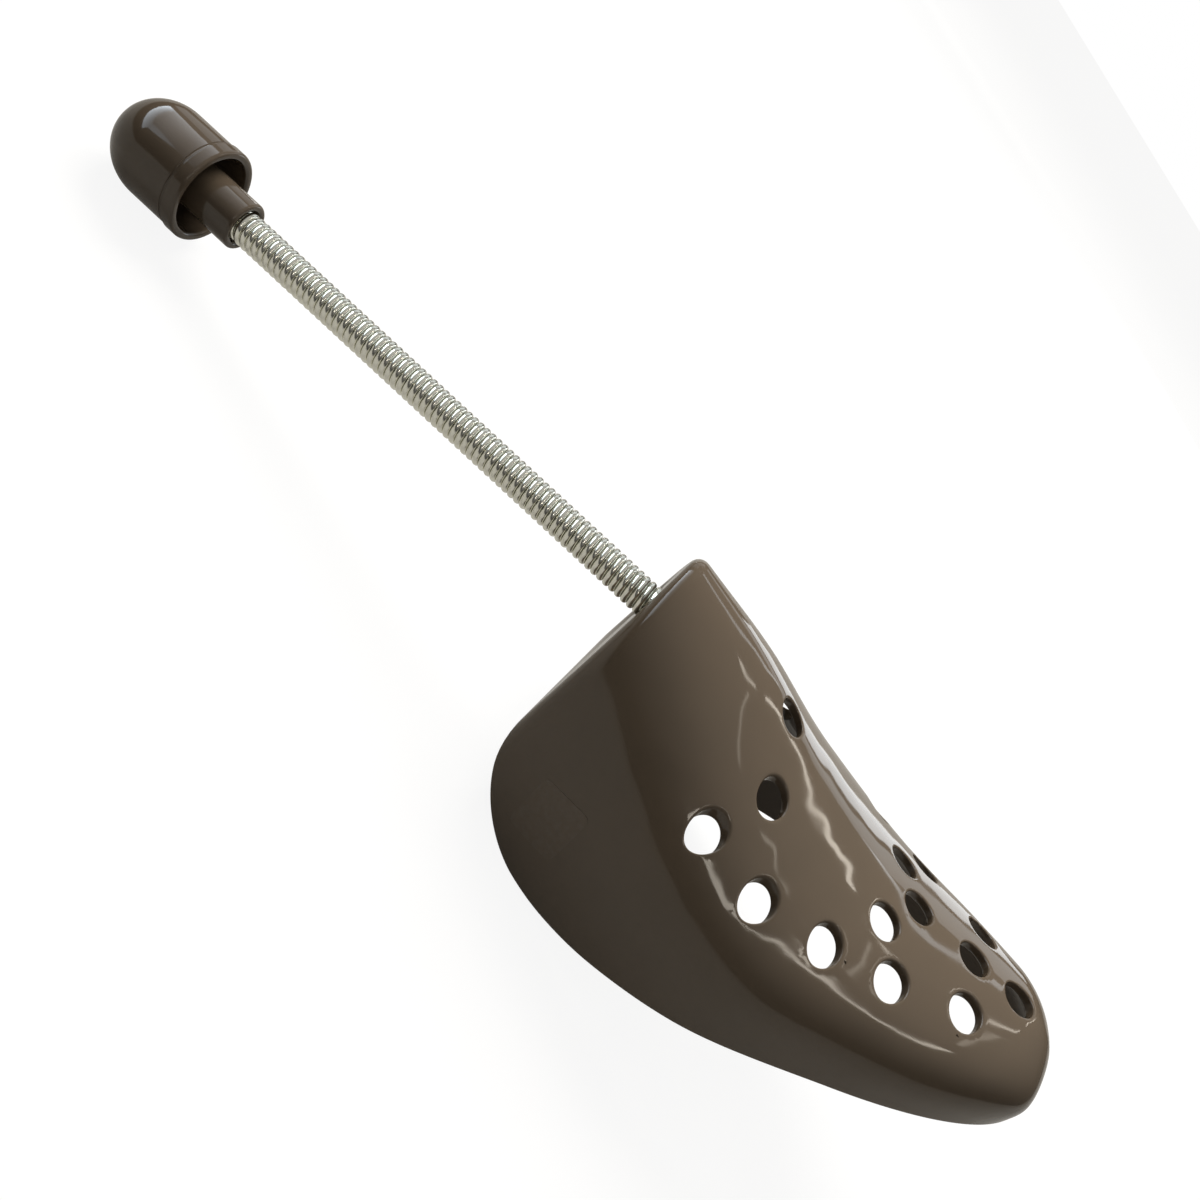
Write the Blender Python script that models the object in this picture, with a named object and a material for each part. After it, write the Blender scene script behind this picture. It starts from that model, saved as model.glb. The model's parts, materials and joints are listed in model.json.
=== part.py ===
"""A spiral spring shoe tree in three pieces: a hollow toe shell, a close wound spring and a
hollow heel knob. Sizes are in metres and +Z is up.

The tree stands as it rests on a table, on the back of its knob and on the lowest part of the
shell's sole edge, with its length along X and the toe at +X.

Two frames are used while drawing. In the shell frame the flat rear wall lies on x = 0, +X runs
to the toe and +Z is the direction in which the mould opens, so the air holes run along it. In
the spring frame +X runs along the spring's axis toward the toe. Both have their origin where
that axis passes through the outer face of the rear wall."""

import math

import bmesh
import bpy
import numpy as np

# Toe shell, in the shell frame
SHELL_LENGTH = 0.1401
SHELL_WALL = 0.0022
REAR_WALL = 0.0024
REAR_EDGE_ROUND = 0.0025
REAR_CORNER_RADIUS = 0.0242
SOLE_DEPTH = 0.0544
SOLE_BREAK = 0.0357
SOLE_BLEND = 0.0140
SOLE_SLOPE = 0.370
RIDGE_STATIONS = (
    (0.000, 0.0169),
    (0.027, 0.0116),
    (0.055, 0.0024),
    (0.082, -0.0024),
    (0.110, -0.0005),
    (0.137, 0.0028),
)
WIDTH_STATIONS = (
    (0.000, 0.0252),
    (0.034, 0.0365),
    (0.068, 0.0400),
    (0.102, 0.0317),
    (0.137, 0.0230),
)
RIDGE_NOSE = (0.87, 1.9)
WIDTH_NOSE = (0.61, 2.9)
ARCH_CROWN_POWER = 1.5
ARCH_WALL_POWER = 3.8

# Air holes, as (x, y, narrowing): their centres in the shell frame, and how far those on the
# steep sides are narrowed across the shell. A pair has one on each side.
HOLE_DIAMETER = 0.0082
HOLE_EDGE_ROUND = 0.0006
HOLE_BRIM = 0.00045
SINGLE_HOLES = (
    (0.0398, 0.0, 1.0),
    (0.0908, 0.0, 1.0),
    (0.1071, 0.0, 1.0),
    (0.1201, 0.0, 1.0),
    (0.0474, -0.0164, 1.0),
)
PAIRED_HOLES = (
    (0.0421, 0.0291, 0.78),
    (0.0595, 0.0300, 0.88),
    (0.0764, 0.0256, 1.0),
    (0.0926, 0.0202, 1.0),
    (0.1097, 0.0134, 1.0),
    (0.0848, 0.0110, 1.0),
)

# Spring and its seats, in the spring frame
SPRING_TILT = math.radians(5.1)
SPRING_DIAMETER = 0.0082
SPRING_WIRE = 0.00138
SPRING_PITCH = 0.0018
SPRING_FREE_LENGTH = 0.1240
SPRING_CLEARANCE = 0.0003
SPRING_END_BEND = 0.0017
SOCKET_DEPTH = 0.0140
SOCKET_DIAMETER = 0.0126
SOCKET_FLOOR = 0.0020
RIB_THICKNESS = 0.0018
CROWN_RIB_LENGTH = 0.0260
SIDE_RIB_LENGTH = 0.0150
BOSS_BORE_DEPTH = 0.0200
CORE_PIN_DIAMETER = 0.0052

# Heel knob, in the spring frame
KNOB_DIAMETER = 0.0241
KNOB_LENGTH = 0.0267
KNOB_DOME_LENGTH = 0.0118
KNOB_WALL = 0.0017
KNOB_TIP_WALL = 0.0034
KNOB_BAND_WIDTH = 0.0033
KNOB_BAND_STEP = 0.0003
KNOB_EDGE_ROUND = 0.0005
BOSS_DIAMETER = 0.0121
BOSS_REACH = 0.0103
BOSS_CHAMFER = 0.0007

# The spring bends about two points on its axis, at these shares of its free length
BEND_SHARES = (0.25, 0.75)

# How finely the surfaces are divided
ARCH_SAMPLES = 1201
ARCH_POINTS = 31
BODY_STATIONS = 30
ROUND_STEPS = 3
HOLLOW_ARCH_POINTS = 25
HOLLOW_STATIONS = 24
RIB_POINTS = 9
HOLE_SIDES = 18
TURNED_SIDES = 36
DOME_STEPS = 8
COIL_POINTS_PER_TURN = 8

# How far cutters run past the walls that they open
CUT_PAST = 0.0040

PLASTIC_COLOUR = (0.165, 0.125, 0.092, 1.0)
STEEL_COLOUR = (0.62, 0.61, 0.56, 1.0)


def smooth_line(stations, x):
    """Heights of a smooth curve through the (x, height) stations."""
    at, height = np.array(stations).T
    slope = np.gradient(height, at)
    x = np.clip(x, at[0], at[-1])
    left = np.clip(np.searchsorted(at, x) - 1, 0, len(at) - 2)
    span = at[left + 1] - at[left]
    t = (x - at[left]) / span
    rise = height[left + 1] - height[left]
    start, end = slope[left] * span, slope[left + 1] * span
    return height[left] + start * t + (3 * rise - 2 * start - end) * t**2 + (start + end - 2 * rise) * t**3


def nose_factor(x, nose, inset):
    """1 along the body, falling to 0 at the toe like the end of a superellipse."""
    start, power = nose
    share = np.clip((x / (SHELL_LENGTH - inset) - start) / (1 - start), 0, 1)
    return (1 - share**power) ** (1 / power)


def sole_height(x):
    """The sole line: level at the rear, then rising to the toe, with a smooth bend between."""
    past = x - SOLE_BREAK
    bend = np.clip(past + SOLE_BLEND, 0, 2 * SOLE_BLEND) ** 2 / (4 * SOLE_BLEND)
    return -SOLE_DEPTH + SOLE_SLOPE * (bend + np.maximum(past - SOLE_BLEND, 0))


def half_width(x, inset=0.0):
    return (smooth_line(WIDTH_STATIONS, x) - inset) * nose_factor(x, WIDTH_NOSE, inset)


def ridge_height(x, inset=0.0):
    rise = smooth_line(RIDGE_STATIONS, x) - inset - sole_height(x)
    return sole_height(x) + rise * nose_factor(x, RIDGE_NOSE, inset)


def edge_height(x):
    """The shell's open lower edge: the sole line with the rear corner cut to a round."""
    back = np.clip(REAR_CORNER_RADIUS - x, 0, REAR_CORNER_RADIUS)
    return sole_height(x) + REAR_CORNER_RADIUS - np.sqrt(REAR_CORNER_RADIUS**2 - back**2)


def arch_rise(share):
    """Height of the arch, 0 to 1, at a share of its half width: a soft crown on steep walls."""
    return (1 - np.abs(share) ** ARCH_CROWN_POWER) ** (1 / ARCH_WALL_POWER)


def surface_height(x, y, inset=0.0):
    share = np.clip(y / half_width(x, inset), -1, 1)
    return sole_height(x) + (ridge_height(x, inset) - sole_height(x)) * arch_rise(share)


def wall_offset(x, z, inset=0.0):
    """Half the shell's width at height z."""
    rise = (z - sole_height(x)) / (ridge_height(x, inset) - sole_height(x))
    return half_width(x, inset) * (1 - np.clip(rise, 0, 1) ** ARCH_WALL_POWER) ** (1 / ARCH_CROWN_POWER)


def arch_points(x, inset, lowest, count):
    """Points across the shell at x, evenly spaced from the near edge over the ridge to the far."""
    if half_width(x, inset) < 1e-7:
        return np.tile((x, 0.0, sole_height(x)), (count, 1))
    turn = np.linspace(-1, 1, ARCH_SAMPLES)
    share = np.sign(turn) * (1 - (1 - np.abs(turn)) ** 4)
    low, high = sole_height(x), ridge_height(x, inset)
    rise = max((lowest - low) / (high - low), 0.0)
    share = share * (1 - rise**ARCH_WALL_POWER) ** (1 / ARCH_CROWN_POWER)
    y = share * half_width(x, inset)
    z = low + (high - low) * arch_rise(share)
    along = np.concatenate(([0.0], np.cumsum(np.hypot(np.diff(y), np.diff(z)))))
    even = np.linspace(0, along[-1], count)
    return np.column_stack((np.full(count, x), np.interp(even, along, y), np.interp(even, along, z)))


def lofted(name, rows):
    """A closed mesh through rows of points, each row closed on itself and both ends filled."""
    built = bmesh.new()
    verts = [[built.verts.new(point) for point in row] for row in rows]
    for row, above in zip(verts, verts[1:]):
        for i, here in enumerate(row):
            beside = (i + 1) % len(row)
            built.faces.new((here, row[beside], above[beside], above[i]))
    built.faces.new(verts[0])
    built.faces.new(verts[-1])
    bmesh.ops.remove_doubles(built, verts=built.verts, dist=1e-6)
    bmesh.ops.recalc_face_normals(built, faces=built.faces)
    mesh = bpy.data.meshes.new(name)
    built.to_mesh(mesh)
    built.free()
    return mesh


def joined(name, meshes):
    """One mesh from several that lie apart from each other."""
    built = bmesh.new()
    for mesh in meshes:
        built.from_mesh(mesh)
        bpy.data.meshes.remove(mesh)
    whole = bpy.data.meshes.new(name)
    built.to_mesh(whole)
    built.free()
    return whole


def crowded(start, end, steps):
    """Places from start to end that crowd toward both, where the heel corner and the toe round off."""
    return start + (end - start) * (1 - np.cos(np.linspace(0, math.pi, steps + 1))) / 2


def outside_rows():
    """Rows of the shell's outside: the rounded rear edge, then the body to the toe."""
    turns = np.linspace(0, math.pi / 2, ROUND_STEPS + 1)[:-1]
    rounded = [(REAR_EDGE_ROUND * (1 - math.cos(a)), REAR_EDGE_ROUND * (1 - math.sin(a))) for a in turns]
    body = [(x, 0.0) for x in crowded(REAR_EDGE_ROUND, SHELL_LENGTH, BODY_STATIONS)]
    return [arch_points(x, inset, edge_height(x), ARCH_POINTS) for x, inset in rounded + body]


def hollow_rows():
    """Rows of the hollow: the same arches one wall further in, run down past the sole."""
    rows = []
    for x in crowded(REAR_WALL, SHELL_LENGTH - SHELL_WALL, HOLLOW_STATIONS)[:-1]:
        arch = arch_points(x, SHELL_WALL, sole_height(x), HOLLOW_ARCH_POINTS)
        near, far = [(x, arch[end][1], -SOLE_DEPTH - CUT_PAST) for end in (0, -1)]
        rows.append([near, *arch[1:-1], far])
    return rows


def turned(name, profile):
    """A solid turned about the X axis, from (x, radius) points that begin and end on the axis."""
    angles = np.arange(TURNED_SIDES) * 2 * math.pi / TURNED_SIDES
    return lofted(name, [[(x, r * math.sin(a), r * math.cos(a)) for a in angles] for x, r in profile])


def rod(name, start, end, diameter):
    return turned(name, ((start, 0), (start, diameter / 2), (end, diameter / 2), (end, 0)))


def crown_rib():
    """An upright rib that ties the socket to the inside of the ridge."""
    inset = SHELL_WALL / 2
    places = np.linspace(REAR_WALL / 2, CROWN_RIB_LENGTH, RIB_POINTS)
    outline = [(x, ridge_height(x, inset)) for x in places]
    outline += [(SOCKET_DEPTH, 0.0), (REAR_WALL / 2, 0.0)]
    half = RIB_THICKNESS / 2
    return lofted("crown_rib", [[(x, y, z) for x, z in outline] for y in (-half, half)])


def side_ribs():
    """A level rib across the socket, from one side wall to the other along the rear wall."""
    start, half = REAR_WALL / 2, RIB_THICKNESS / 2
    reach = wall_offset(start, half, REAR_EDGE_ROUND / 2)
    outline = ((start, -reach), (SIDE_RIB_LENGTH, 0.0), (start, reach))
    return lofted("side_ribs", [[(x, y, z) for x, y in outline] for z in (-half, half)])


def hole_cutter(x, y, narrowing):
    """An upright cutter whose mouth flares along the surface, so that the hole's edge is rounded."""
    angles = (np.arange(HOLE_SIDES) + 0.5) * 2 * math.pi / HOLE_SIDES
    radius, edge = HOLE_DIAMETER / 2, HOLE_EDGE_ROUND
    flare = [(edge * (1 - math.cos(a)), edge * (math.sin(a) - 1)) for a in np.radians((0, 30, 60))]
    rows = []
    for out, rise in (*flare, (edge, HOLE_BRIM)):
        at_x = x + (radius + out) * np.cos(angles)
        at_y = y + (radius + out) * np.sin(angles) * narrowing
        rows.append(np.column_stack((at_x, at_y, surface_height(at_x, at_y) + rise)))
    bottom, top = rows[0].copy(), rows[-1].copy()
    bottom[:, 2] = rows[0][:, 2].min() - CUT_PAST
    top[:, 2] = rows[-1][:, 2].max() + CUT_PAST
    return lofted("hole", [bottom, *rows, top])


def rear_opening():
    """A block that squares off the rear wall's lower edge between the side walls."""
    half = half_width(REAR_WALL, SHELL_WALL)
    back, front = -CUT_PAST, REAR_WALL + CUT_PAST
    outline = ((back, -half), (front, -half), (front, half), (back, half))
    top = edge_height(0.0)
    return lofted("rear_opening", [[(x, y, z) for x, y in outline] for z in (top - SOLE_DEPTH, top)])


def knob_profile():
    """The knob's outline from the tip of its dome round its mouth and boss to the bore's end."""
    boss_end = -SPRING_FREE_LENGTH
    mouth = boss_end - BOSS_REACH
    tip = mouth - KNOB_LENGTH
    shoulder = tip + KNOB_DOME_LENGTH
    band, outside = KNOB_DIAMETER / 2, KNOB_DIAMETER / 2 - KNOB_BAND_STEP
    inside = outside - KNOB_WALL
    band_start = mouth - KNOB_BAND_WIDTH
    turns = np.linspace(0, math.pi / 2, DOME_STEPS + 1)
    dome = [(shoulder - KNOB_DOME_LENGTH * math.cos(a), outside * math.sin(a)) for a in turns]
    root = math.asin(BOSS_DIAMETER / 2 / inside)
    hollow = KNOB_DOME_LENGTH - KNOB_WALL
    turns = np.linspace(math.pi / 2, root, DOME_STEPS - 1)
    inner_dome = [(shoulder - hollow * math.cos(a), inside * math.sin(a)) for a in turns]
    bore, pin = SPRING_DIAMETER / 2 + SPRING_CLEARANCE, CORE_PIN_DIAMETER / 2
    return [
        *dome,
        (band_start, outside),
        (band_start, band),
        (mouth - KNOB_EDGE_ROUND, band),
        (mouth, band - KNOB_EDGE_ROUND),
        (mouth, inside + KNOB_EDGE_ROUND),
        (mouth - KNOB_EDGE_ROUND, inside),
        *inner_dome,
        (boss_end - BOSS_CHAMFER, BOSS_DIAMETER / 2),
        (boss_end, BOSS_DIAMETER / 2 - BOSS_CHAMFER),
        (boss_end, bore),
        (boss_end - BOSS_BORE_DEPTH, bore),
        (boss_end - BOSS_BORE_DEPTH, pin),
        (tip + KNOB_TIP_WALL, pin),
        (tip + KNOB_TIP_WALL, 0.0),
    ]


def coil_points():
    """The wire's centre line: a right-hand helix whose ends turn along the axis and meet the seats."""
    radius = (SPRING_DIAMETER - SPRING_WIRE) / 2
    start = -SPRING_FREE_LENGTH - BOSS_BORE_DEPTH + SPRING_CLEARANCE
    end = SOCKET_DEPTH - SPRING_CLEARANCE
    first, last = start + SPRING_END_BEND + SPRING_WIRE, end - SPRING_END_BEND - SPRING_WIRE
    turns = round((last - first) / SPRING_PITCH)
    share = np.arange(turns * COIL_POINTS_PER_TURN + 1) / (turns * COIL_POINTS_PER_TURN)
    helix = np.column_stack((first + (last - first) * share, 2 * math.pi * turns * share))
    turning = np.radians((30, 60, 90))
    curve = [(SPRING_END_BEND * (1 - math.cos(a)), SPRING_END_BEND * math.sin(a) / radius) for a in turning]
    tail = np.array([(last + rise, helix[-1, 1] + round_by) for rise, round_by in curve] + [(end, 0.0)])
    tail[-1, 1] = tail[-2, 1]
    head = np.array([(start, 0.0)] + [(first - rise, -round_by) for rise, round_by in reversed(curve)])
    head[0, 1] = head[1, 1]
    along, angle = np.vstack((head, helix, tail)).T
    return np.column_stack((along, radius * np.cos(angle), radius * np.sin(angle)))


def least_gap(points, wire):
    """The least clear space between the wire and itself, past its own nearest points."""
    apart = np.linalg.norm(points[:, None] - points[None], axis=2)
    index = np.arange(len(points))
    beside = np.abs(index[:, None] - index[None]) < COIL_POINTS_PER_TURN / 2
    return np.where(beside, np.inf, apart).min() - wire


def lowest(points, turn):
    return (points[:, 0] * math.sin(turn) + points[:, -1] * math.cos(turn)).min()


def resting_turn(shell, knob):
    """How far the toe tips up until the shell and the knob touch the same level surface."""
    level, upright = 0.0, math.radians(45)
    for _ in range(60):
        turn = (level + upright) / 2
        if lowest(shell, turn) < lowest(knob, turn):
            level = turn
        else:
            upright = turn
    return turn


def plastic_or_steel(name, colour, roughness, metallic):
    material = bpy.data.materials.new(name)
    material.use_nodes = True
    shader = material.node_tree.nodes["Principled BSDF"]
    shader.inputs["Base Color"].default_value = colour
    shader.inputs["Roughness"].default_value = roughness
    shader.inputs["Metallic"].default_value = metallic
    return material


def empty(name, parent=None, along=0.0, turn=0.0):
    axis = bpy.data.objects.new(name, None)
    bpy.context.collection.objects.link(axis)
    axis.parent = parent
    axis.location.x = along
    axis.rotation_euler.y = turn
    axis.empty_display_size = 0.01
    return axis


def piece(name, data, parent, material):
    thing = bpy.data.objects.new(name, data)
    bpy.context.collection.objects.link(thing)
    thing.parent = parent
    data.materials.append(material)
    return thing


def helper(mesh, parent):
    """A cutter, or a body that a Boolean adds: not a piece of the object by itself."""
    thing = bpy.data.objects.new(mesh.name, mesh)
    bpy.context.collection.objects.link(thing)
    thing.parent = parent
    thing.hide_render = True
    thing.display_type = "WIRE"
    return thing


def combine(target, other, operation):
    modifier = target.modifiers.new(other.name, "BOOLEAN")
    modifier.operation = operation
    modifier.object = other


def make_toe_shell(shell_frame, spring_frame, material):
    shell = piece("toe_shell", lofted("toe_shell", outside_rows()), shell_frame, material)
    combine(shell, helper(lofted("hollow", hollow_rows()), shell_frame), "DIFFERENCE")
    combine(shell, helper(rear_opening(), shell_frame), "DIFFERENCE")
    socket = rod("socket", REAR_WALL / 2, SOCKET_DEPTH + SOCKET_FLOOR, SOCKET_DIAMETER)
    combine(shell, helper(socket, spring_frame), "UNION")
    combine(shell, helper(crown_rib(), shell_frame), "UNION")
    combine(shell, helper(side_ribs(), shell_frame), "UNION")
    bore = rod("socket_bore", -CUT_PAST, SOCKET_DEPTH, SPRING_DIAMETER + 2 * SPRING_CLEARANCE)
    combine(shell, helper(bore, spring_frame), "DIFFERENCE")
    far_holes = [(x, -y, narrowing) for x, y, narrowing in PAIRED_HOLES]
    places = (*SINGLE_HOLES, *PAIRED_HOLES, *far_holes)
    holes = joined("air_holes", [hole_cutter(*place) for place in places])
    combine(shell, helper(holes, shell_frame), "DIFFERENCE")
    return shell


def make_coil_spring(hinge, material):
    points = coil_points()
    print(f"least gap between turns: {1000 * least_gap(points, SPRING_WIRE):.3f} mm")
    wire = bpy.data.curves.new("coil_spring", "CURVE")
    wire.dimensions = "3D"
    wire.bevel_depth = SPRING_WIRE / 2
    wire.bevel_resolution = 1
    wire.use_fill_caps = True
    line = wire.splines.new("POLY")
    line.points.add(len(points) - 1)
    placed = np.column_stack((points[:, 0] - hinge.location.x, points[:, 1:], np.ones(len(points))))
    line.points.foreach_set("co", placed.astype(np.float32).ravel())
    return piece("coil_spring", wire, hinge, material)


def make_heel_knob(hinge, from_origin, material):
    profile = [(x - from_origin, r) for x, r in knob_profile()]
    return piece("heel_knob", turned("heel_knob", profile), hinge, material)


def main():
    for thing in list(bpy.data.objects):
        bpy.data.objects.remove(thing)

    spin = math.cos(SPRING_TILT), math.sin(SPRING_TILT)
    outside = np.vstack(outside_rows())
    shell_points = np.column_stack((
        spin[0] * outside[:, 0] + spin[1] * outside[:, 2],
        spin[0] * outside[:, 2] - spin[1] * outside[:, 0],
    ))
    knob_points = np.array([(x, side * r) for x, r in knob_profile() for side in (-1, 1)])
    turn = resting_turn(shell_points, knob_points)
    both = np.vstack((shell_points, knob_points))
    reach = both[:, 0] * math.cos(turn) - both[:, 1] * math.sin(turn)

    spring_frame = empty("spring_frame", turn=-turn)
    spring_frame.location = (-(reach.min() + reach.max()) / 2, 0.0, -lowest(both, turn))
    shell_frame = empty("shell_frame", spring_frame, turn=SPRING_TILT)
    toe_bend, heel_bend = (-share * SPRING_FREE_LENGTH for share in BEND_SHARES)
    toe_hinge = empty("toe_hinge", spring_frame, along=toe_bend)
    heel_hinge = empty("heel_hinge", toe_hinge, along=heel_bend - toe_bend)

    plastic = plastic_or_steel("taupe_plastic", PLASTIC_COLOUR, 0.25, 0.0)
    knob_plastic = plastic_or_steel("knob_plastic", PLASTIC_COLOUR, 0.25, 0.0)
    steel = plastic_or_steel("spring_steel", STEEL_COLOUR, 0.28, 1.0)
    pieces = (
        make_toe_shell(shell_frame, spring_frame, plastic),
        make_coil_spring(toe_hinge, steel),
        make_heel_knob(heel_hinge, heel_bend, knob_plastic),
    )
    for thing in pieces:
        if thing.type == "MESH":
            thing.data.shade_smooth()
            thing.data.set_sharp_from_angle(angle=math.radians(35))


main()
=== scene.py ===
"""A spiral spring shoe tree: two glossy taupe mouldings on the ends of one close wound spring."""

import json
import math

import bmesh
import bpy
import numpy as np
from mathutils import Matrix, Vector


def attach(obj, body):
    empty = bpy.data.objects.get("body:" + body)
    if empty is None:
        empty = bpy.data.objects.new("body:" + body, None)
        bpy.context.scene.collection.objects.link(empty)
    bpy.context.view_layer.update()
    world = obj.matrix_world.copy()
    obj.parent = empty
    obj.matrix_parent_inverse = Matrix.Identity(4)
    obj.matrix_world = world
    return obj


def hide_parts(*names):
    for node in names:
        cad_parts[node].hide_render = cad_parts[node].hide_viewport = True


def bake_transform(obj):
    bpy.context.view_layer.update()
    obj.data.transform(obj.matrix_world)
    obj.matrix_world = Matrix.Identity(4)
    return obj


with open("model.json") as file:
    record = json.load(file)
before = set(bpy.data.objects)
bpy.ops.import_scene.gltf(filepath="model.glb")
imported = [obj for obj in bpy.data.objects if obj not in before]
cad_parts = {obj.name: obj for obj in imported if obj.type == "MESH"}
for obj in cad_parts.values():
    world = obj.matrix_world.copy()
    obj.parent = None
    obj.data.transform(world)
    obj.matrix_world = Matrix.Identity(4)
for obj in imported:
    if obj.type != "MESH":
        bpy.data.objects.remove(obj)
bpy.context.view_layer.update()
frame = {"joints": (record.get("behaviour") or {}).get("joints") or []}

# Spring. One close wound coil of bright drawn steel wire, each turn lying against the next. It
# joins the two mouldings: its last turns are pressed into a socket in the toe shell and into the
# bore of the knob's boss. It is made as two halves, one for each place where it bends.
SPRING_DIAMETER = 0.0082
WIRE_DIAMETER = 0.00179
PITCH = 0.0018
BEND_SHARE = 0.25
IN_SOCKET = 0.0136
IN_BOSS = 0.0196
POINTS_PER_TURN = 40
POINTS_AROUND_WIRE = 16
STEEL = (0.93, 0.93, 0.84, 1.0)
# The wire's colour in the grooves between turns: painted shade where the turns touch
STEEL_PAINTED_SHADE_IN_GROOVES = (0.32, 0.32, 0.26, 1.0)

toe_bend, heel_bend = [np.array(joint["pos_m"]) for joint in frame["joints"]]
between_bends = np.linalg.norm(toe_bend - heel_bend)
spring_axis = (toe_bend - heel_bend) / between_bends
free_length = between_bends / (1 - 2 * BEND_SHARE)
wall_point = toe_bend + BEND_SHARE * free_length * spring_axis


def axes_along(axis):
    """Rows are the world directions of x along the axis, y sideways and z upright to both."""
    return np.array((axis, (0.0, 1.0, 0.0), (-axis[2], 0.0, axis[0])))


def grid_faces(rows, columns, around=False):
    """Quads between the neighbours of a grid; around closes the last column on the first."""
    index = np.arange(rows * columns).reshape(rows, columns)
    if around:
        index = np.hstack((index, index[:, :1]))
    corners = (index[:-1, :-1], index[:-1, 1:], index[1:, 1:], index[1:, :-1])
    return np.stack(corners, axis=-1).reshape(-1, 4)


def sheet(points, around=False):
    """A patch of surface from a rows by columns grid of points."""
    rows, columns = points.shape[:2]
    return points.reshape(-1, 3), grid_faces(rows, columns, around)


def fan(ring, middle):
    """A patch that closes a ring of points on its middle."""
    index = np.arange(len(ring))
    faces = np.column_stack((index, np.roll(index, -1), np.full(len(ring), len(ring))))
    return np.vstack((ring, middle)), faces


def piece_from(name, patches, finish, axes, sharp=40.0, **values):
    """One object from patches of (points, faces), welded where they meet, with its faces outward.
    The points are in the frame of the axes at the wall point; values are kept as attributes."""
    weld = 4e-7
    starts = np.cumsum([0] + [len(points) for points, _ in patches])
    faces = [face for (_, part), start in zip(patches, starts) for face in (part + start).tolist()]
    mesh = bpy.data.meshes.new(name)
    mesh.from_pydata(wall_point + np.vstack([points for points, _ in patches]) @ axes, [], faces)
    for label, value in values.items():
        vector = value.ndim == 2
        kept = mesh.attributes.new(label, "FLOAT_VECTOR" if vector else "FLOAT", "POINT")
        kept.data.foreach_set("vector" if vector else "value", value.astype(np.float32).ravel())
    built = bmesh.new()
    built.from_mesh(mesh)
    bmesh.ops.remove_doubles(built, verts=built.verts, dist=weld)
    bmesh.ops.recalc_face_normals(built, faces=built.faces)
    built.to_mesh(mesh)
    built.free()
    mesh.shade_smooth()
    mesh.set_sharp_from_angle(angle=math.radians(sharp))
    mesh.materials.append(finish)
    thing = bpy.data.objects.new(name, mesh)
    bpy.context.collection.objects.link(thing)
    return thing


class Signal:
    """A socket in a material's nodes. Arithmetic on it adds Math nodes."""

    def __init__(self, tree, socket=None):
        self.tree = tree
        self.socket = socket

    def node(self, kind, inputs, output=0, **settings):
        """Adds a node of a kind with its settings, and its inputs as values or other signals."""
        made = self.tree.nodes.new("ShaderNode" + kind)
        for name, value in settings.items():
            setattr(made, name, value)
        for place, value in inputs.items():
            if isinstance(value, Signal):
                self.tree.links.new(value.socket, made.inputs[place])
            else:
                made.inputs[place].default_value = value
        return Signal(self.tree, made.outputs[output])

    def math(self, operation, first, second):
        return self.node("Math", {0: first, 1: second}, operation=operation)

    def __add__(self, other):
        return self.math("ADD", self, other)

    def __radd__(self, other):
        return self.math("ADD", other, self)

    def __sub__(self, other):
        return self.math("SUBTRACT", self, other)

    def __rsub__(self, other):
        return self.math("SUBTRACT", other, self)

    def __mul__(self, other):
        return self.math("MULTIPLY", self, other)

    def __rmul__(self, other):
        return self.math("MULTIPLY", other, self)

    def spread(self, low, high, to_low, to_high):
        """The signal's values from low to high, spread over another span and held at its ends."""
        ends = {"From Min": low, "From Max": high, "To Min": to_low, "To Max": to_high}
        return self.node("MapRange", {"Value": self, **ends})

    def tint(self, first, second):
        """A colour between two others by this signal."""
        return self.node("Mix", {0: self, 6: first, 7: second}, output=2, data_type="RGBA")

    def drive(self, shader, socket):
        self.tree.links.new(self.socket, shader.inputs[socket])


def new_finish(name, **sockets):
    """A material, a signal to start its nodes from, and its shader with its plain values set."""
    material = bpy.data.materials.new(name)
    material.use_nodes = True
    shader = material.node_tree.nodes["Principled BSDF"]
    for socket, value in sockets.items():
        shader.inputs[socket.replace("_", " ")].default_value = value
    return material, Signal(material.node_tree), shader


def wire_finish():
    """Bright drawn wire: fine die lines along it, dull where turns touch, and painted darker there
    as shade.
    """
    material, start, shader = new_finish("drawn_steel_wire", Metallic=1.0)
    straight = start.node("Attribute", {}, output="Vector", attribute_name="straight_wire")
    outward = start.node("Attribute", {}, output="Fac", attribute_name="outward")
    stretched = start.node("Mapping", {"Vector": straight, "Scale": (60.0, 9000.0, 9000.0)})
    die_lines = start.node("TexNoise", {"Vector": stretched, "Scale": 1.0, "Detail": 3.0})
    smeared = start.node("Mapping", {"Vector": straight, "Scale": (300.0, 900.0, 900.0)})
    handling = start.node("TexNoise", {"Vector": smeared, "Scale": 1.0, "Detail": 4.0})
    # Painted shade: the base colour darkens toward the grooves where the turns touch
    out_of_grooves = outward.spread(-0.2, 0.5, 0.0, 1.0)
    out_of_grooves.tint(STEEL_PAINTED_SHADE_IN_GROOVES, STEEL).drive(shader, "Base Color")
    (0.11 + 0.12 * handling + 0.20 * (1.0 - out_of_grooves)).drive(shader, "Roughness")
    bump = start.node("Bump", {"Height": 0.0000003 * (die_lines + handling), "Distance": 1.0})
    bump.drive(shader, "Normal")
    return material


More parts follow.
